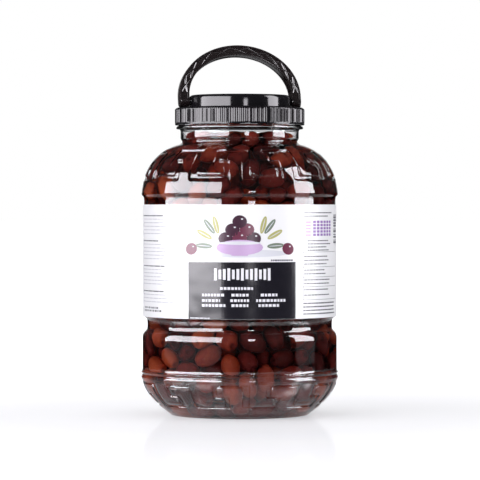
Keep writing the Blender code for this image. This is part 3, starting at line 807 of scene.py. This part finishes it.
skirt = [(54.8, 254), (55.2, 253.6), (56.4, 253.6), (56.75, 253.9), (56.75, 255), (56.3, 255.4)]
skirt += [(56.3, 255.9), (56.3, 266.5), (56.3, 267), (56.1, 267.9), (55.5, 268.5), (54.8, 268.8)]
top = [(54, 268.8), (46, 268.8), (44.9, 268.9), (44.4, 269.4), (44.4, 270), (44.4, 276.5), (44.3, 277.3)]
top += [(43.9, 278.4), (43, 279.3), (42, 279.7), (41, 279.7)]
lid = turn_rings("screw_lid", [(54.8, 266.9)] + skirt + top + [(10, 279.7)], LID_COLUMNS, 0)
close_ends()


def raise_ribs(piece):
    """Pull the skirt out into round ribs, four columns to a rib, between its rim and top corner."""
    for vertex in piece.data.vertices:
        radius = math.hypot(vertex.co.x, vertex.co.y)
        column = round(math.atan2(vertex.co.y, vertex.co.x) * LID_COLUMNS / (2 * math.pi) - 0.5)
        if RIB_LOW < vertex.co.z < RIB_HIGH and radius > RIB_INSIDE:
            rise = RIB_HEIGHT * RIB_PROFILE[column % 4] * MM
            vertex.co.x *= 1 + rise / radius
            vertex.co.y *= 1 + rise / radius


raise_ribs(lid)
bpy.ops.object.shade_smooth_by_angle(angle=math.radians(40))


def moulded_grain(tree, shader, height):
    """The soft unevenness of moulded plastic: shrink waves 12 mm long under a fine spark grain."""
    place = add_node(tree, "ShaderNodeTexCoord")
    sink = add_node(tree, "ShaderNodeTexNoise", {"Scale": 80, "Detail": 1},
                    {"Vector": place.outputs["Object"]})
    grain = add_node(tree, "ShaderNodeTexNoise", {"Scale": 1600, "Detail": 2},
                     {"Vector": place.outputs["Object"]})
    both = add_node(tree, "ShaderNodeMath", {1: 0.12}, {0: grain.outputs[0], 2: sink.outputs[0]},
                    operation="MULTIPLY_ADD")
    bump = add_node(tree, "ShaderNodeBump", {"Distance": height * MM}, {"Height": both.outputs[0]})
    tree.links.new(bump.outputs[0], shader.inputs["Normal"])
    roughness = shader.inputs["Roughness"].default_value
    wear = add_node(tree, "ShaderNodeMapRange", {"To Min": roughness * 0.8, "To Max": roughness * 1.3},
                    {"Value": sink.outputs[0]})
    tree.links.new(wear.outputs[0], shader.inputs["Roughness"])


# Black polypropylene with a moulded gloss, faintly blue where it reflects.
black_gloss, tree, shader = new_surface("glossy_black_polypropylene", "#131215", 0.1,
                                        Specular_IOR_Level=0.36)
moulded_grain(tree, shader, 0.05)
lid.data.materials.append(black_gloss)
finish_piece(lid, "jar", "black_plastic", "lid")

# The two hinge pins, moulded on bosses that start inside the disc.
BOSS_RADIUS, BOSS_START, BOSS_END = 3.6, 41, 45.6
PIN_RADIUS, PIN_END = 2.2, 51.5
bosses = []
for side in (1, -1):
    bpy.ops.object.select_all(action="DESELECT")
    bpy.ops.mesh.primitive_cylinder_add(
        vertices=32,
        radius=BOSS_RADIUS * MM,
        depth=(BOSS_END - BOSS_START) * MM,
        location=(0, 0, (BOSS_START + BOSS_END) / 2 * MM),
    )
    boss = bpy.context.object
    bpy.ops.object.transform_apply(location=True, rotation=True, scale=True)
    bpy.ops.object.mode_set(mode="EDIT")
    bpy.ops.mesh.select_all(action="DESELECT")
    work = bmesh.from_edit_mesh(boss.data)
    for face in work.faces:
        face.select_set(face.normal.z > 0.9)
    bmesh.update_edit_mesh(boss.data)
    bpy.ops.mesh.inset(thickness=(BOSS_RADIUS - PIN_RADIUS) * MM)
    bpy.ops.mesh.extrude_region_move(TRANSFORM_OT_translate={"value": (0, 0, (PIN_END - BOSS_END) * MM)})
    bpy.ops.object.mode_set(mode="OBJECT")
    boss.data.transform(Matrix.Rotation(side * math.pi / 2, 4, "Y"))
    bosses.append(boss)
bpy.ops.object.select_all(action="DESELECT")
for boss in bosses:
    boss.select_set(True)
bpy.context.view_layer.objects.active = bosses[0]
bpy.ops.object.join()
hinge_pins = bosses[0]
hinge_pins.name = "hinge_pins"
rounding = hinge_pins.modifiers.new("rounding", "BEVEL")
rounding.width = 0.3 * MM
rounding.segments = 2
bpy.ops.object.modifier_apply(modifier=rounding.name)
hinge_pins.data.transform(Matrix.Translation((0, 0, PIVOT)) @ Matrix.Rotation(HANDLE_TURN, 4, "Z"))
bpy.ops.object.shade_smooth_by_angle(angle=math.radians(40))
hinge_pins.data.materials.append(black_gloss)
finish_piece(hinge_pins, "jar", "black_plastic")


# The carry handle: black polypropylene, moulded as one arch with sunk faces, thin crossing ribs
# in them and a grooved grip inside. Its feet snap over the lid's two pins and turn on them.
HALF_WIDTH, REACH, BAND, HANDLE_DEPTH, LEG = 54.3, 49.5, 8.4, 11, 3.9
FOOT_ROUND, FOOT_END = 5.4, 5.2
HANDLE_LEAN = math.radians(12.9)
BAR_HALF = 75
BAR_SEGMENTS = 268
SUNK_BORDER, SUNK_DEPTH, SUNK_SLOPE = 1.5, 1.0, 0.25
EDGE_ROUND = 0.3
GRIP_HALF, GROOVE_MARGIN, GROOVE_DEPTH = 66, 0.12, 0.35
SOCKET_GAP, SOCKET_START, SOCKET_LENGTH = 0.3, 43.8, 8
CROSS_PITCH, CROSS_COUNT = 15, 9
CROSS_HALF, CROSS_HEIGHT, CROSS_MIDDLE, CROSS_OFFSET = 1.0, 0.9, 4.65, 0.3


def bend_to_arch(piece):
    """Bend a straight bar, long in X with its inner side down, into the handle's arch."""
    curve_half = BAR_HALF - LEG
    for vertex in piece.data.vertices:
        along, deep, out = vertex.co / MM
        turn = math.pi / 2 * (1 - max(-1, min(1, along / curve_half)))
        wide = HALF_WIDTH - BAND + out
        tall = REACH - LEG - BAND + out
        below = max(0, abs(along) - curve_half)
        past = min(max(0, abs(along) - BAR_HALF), FOOT_END)
        narrow = math.sqrt(1 - (past / FOOT_ROUND) ** 2)
        spot = (wide * math.cos(turn), deep * narrow, LEG + tall * math.sin(turn) - below)
        vertex.co = Vector(spot) * MM


bpy.ops.object.select_all(action="DESELECT")
bpy.ops.mesh.primitive_grid_add(x_subdivisions=BAR_SEGMENTS, y_subdivisions=1, size=2)
handle = bpy.context.object
handle.name = "carry_handle"
handle.scale = ((BAR_HALF + FOOT_ROUND) * MM, HANDLE_DEPTH / 2 * MM, 1)
bpy.ops.object.transform_apply(location=True, rotation=True, scale=True)
bpy.ops.object.mode_set(mode="EDIT")
bpy.ops.mesh.select_all(action="SELECT")
for rise in (SUNK_BORDER, BAND - 2 * SUNK_BORDER, SUNK_BORDER):
    bpy.ops.mesh.extrude_region_move(TRANSFORM_OT_translate={"value": (0, 0, rise * MM)})
bpy.ops.mesh.select_all(action="SELECT")
bpy.ops.mesh.normals_make_consistent(inside=False)
bpy.ops.mesh.select_mode(type="FACE")
for side in (1, -1):
    bpy.ops.mesh.select_all(action="DESELECT")
    work = bmesh.from_edit_mesh(handle.data)
    for face in work.faces:
        spot = face.calc_center_median() / MM
        middle = abs(spot.x) < BAR_HALF - 0.5 and abs(spot.z - BAND / 2) < BAND / 2 - SUNK_BORDER
        face.select_set(face.normal.y * side > 0.9 and middle)
    bmesh.update_edit_mesh(handle.data)
    bpy.ops.mesh.inset(thickness=SUNK_SLOPE * MM, depth=-SUNK_DEPTH * MM, use_even_offset=True)
bpy.ops.object.mode_set(mode="OBJECT")
edges = handle.modifiers.new("edges", "BEVEL")
edges.width = EDGE_ROUND * MM
edges.segments = 2
edges.limit_method = "ANGLE"
edges.angle_limit = math.radians(80)
bpy.ops.object.modifier_apply(modifier=edges.name)
bpy.ops.object.mode_set(mode="EDIT")
bpy.ops.mesh.select_all(action="DESELECT")
work = bmesh.from_edit_mesh(handle.data)
for face in work.faces:
    spot = face.calc_center_median().x / MM
    step = int(spot // (2 * (BAR_HALF + FOOT_ROUND) / BAR_SEGMENTS))
    face.select_set(face.normal.z < -0.9 and abs(spot) < GRIP_HALF and step % 2 == 0)
bmesh.update_edit_mesh(handle.data)
bpy.ops.mesh.inset(thickness=GROOVE_MARGIN * MM, depth=-GROOVE_DEPTH * MM, use_individual=True)
bpy.ops.mesh.select_mode(type="VERT")
bpy.ops.object.mode_set(mode="OBJECT")
bend_to_arch(handle)
for side in (1, -1):
    bpy.ops.object.select_all(action="DESELECT")
    bpy.ops.mesh.primitive_cylinder_add(
        vertices=32,
        radius=(PIN_RADIUS + SOCKET_GAP) * MM,
        depth=SOCKET_LENGTH * MM,
        location=(side * (SOCKET_START + SOCKET_LENGTH / 2) * MM, 0, 0),
        rotation=(0, math.pi / 2, 0),
    )
    socket = bpy.context.object
    bpy.ops.object.select_all(action="DESELECT")
    handle.select_set(True)
    bpy.context.view_layer.objects.active = handle
    cut = handle.modifiers.new("socket", "BOOLEAN")
    cut.operation, cut.object = "DIFFERENCE", socket
    bpy.ops.object.modifier_apply(modifier=cut.name)
    bpy.data.objects.remove(socket, do_unlink=True)
ribs = []
tilt = math.atan2(BAND - 2 * SUNK_BORDER, CROSS_PITCH)
for i in range(CROSS_COUNT):
    for side in (1, -1):
        for way in (1, -1):
            bpy.ops.object.select_all(action="DESELECT")
            bpy.ops.mesh.primitive_grid_add(x_subdivisions=12, y_subdivisions=4, size=2)
            rib = bpy.context.object
            rib.scale = (CROSS_PITCH / 2 / math.cos(tilt) * MM, CROSS_HALF * MM, 1)
            bpy.ops.object.transform_apply(location=True, rotation=True, scale=True)
            bpy.ops.object.mode_set(mode="EDIT")
            bpy.ops.mesh.select_all(action="SELECT")
            bpy.ops.mesh.extrude_region_move(TRANSFORM_OT_translate={"value": (0, 0, CROSS_HEIGHT * MM)})
            bpy.ops.mesh.select_all(action="SELECT")
            bpy.ops.mesh.normals_make_consistent(inside=False)
            bpy.ops.object.mode_set(mode="OBJECT")
            for vertex in rib.data.vertices:
                vertex.co.z *= 1 - 0.7 * (vertex.co.y / CROSS_HALF / MM) ** 2
            rib.rotation_euler = (math.pi / 2, way * tilt, 0)
            along = (i - (CROSS_COUNT - 1) / 2) * CROSS_PITCH
            rib.location = Vector((along, side * CROSS_MIDDLE + CROSS_OFFSET, BAND / 2)) * MM
            bpy.ops.object.transform_apply(location=True, rotation=True, scale=True)
            bend_to_arch(rib)
            ribs.append(rib)
bpy.ops.object.select_all(action="DESELECT")
for piece in [handle] + ribs:
    piece.select_set(True)
bpy.context.view_layer.objects.active = handle
bpy.ops.object.join()
handle.data.transform(Matrix.Translation((0, 0, PIVOT)) @ Matrix.Rotation(HANDLE_TURN, 4, "Z")
                      @ Matrix.Rotation(-HANDLE_LEAN, 4, "X"))
bpy.ops.object.shade_smooth_by_angle(angle=math.radians(35))
# Black polypropylene again, browner than the lid and less glossy.
black_satin, tree, shader = new_surface("satin_black_polypropylene", "#1c1617", 0.17,
                                        Specular_IOR_Level=0.8)
moulded_grain(tree, shader, 0.008)
handle.data.materials.append(black_satin)
finish_piece(handle, "handle", "black_handle_plastic", "handle")
